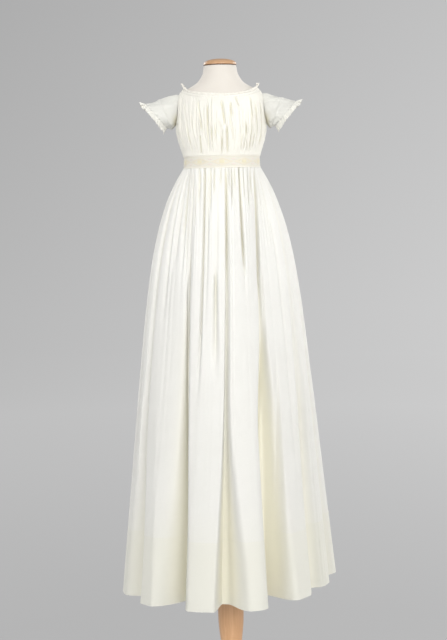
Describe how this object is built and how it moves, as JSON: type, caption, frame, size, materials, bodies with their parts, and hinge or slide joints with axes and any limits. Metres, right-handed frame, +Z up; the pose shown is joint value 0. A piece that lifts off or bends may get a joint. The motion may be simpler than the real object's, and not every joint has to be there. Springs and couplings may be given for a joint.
{
  "type": "victorian christening dress on a dress form",
  "caption": "Long-skirted white cotton infant's gown with gathered bodice, cap sleeves and embroidered waistband, on a limbless child's dress form with a turned wooden stand.",
  "frame": {"origin": "centre of the stand's underside, on the floor", "axes": "+Z up along the stand's pole; the gown's front faces -Y; +X is to the right of someone who looks at its front"},
  "size_m": [0.4248, 0.4916, 1.2698],
  "materials": {
    "gown_cotton": "fine plain-weave white cotton, slightly sheer, soft and matt",
    "trimming": "narrow scalloped edging and cream embroidered insertion",
    "thread_button": "small ring buttons worked over with cotton thread",
    "form_cover": "smooth cream cloth stretched over the form",
    "honey_wood": "honey-brown turned wood under satin varnish"
  },
  "bodies": {
    "root": {"bodice_front": "gown_cotton", "bodice_back_left": "gown_cotton", "bodice_back_right": "gown_cotton", "back_placket": "gown_cotton", "sleeve_left": "gown_cotton", "sleeve_right": "gown_cotton", "skirt_front": "gown_cotton", "skirt_back": "gown_cotton", "sleeve_frill_left": "trimming", "sleeve_frill_right": "trimming", "neck_casing": "trimming", "neck_frill": "trimming", "waistband": "trimming", "button_neck": "thread_button", "button_middle": "thread_button", "button_waist": "thread_button", "form_body": "form_cover", "form_neck_cap": "honey_wood", "stand_pole": "honey_wood", "stand_base": "honey_wood"}
  },
  "joints": []
}
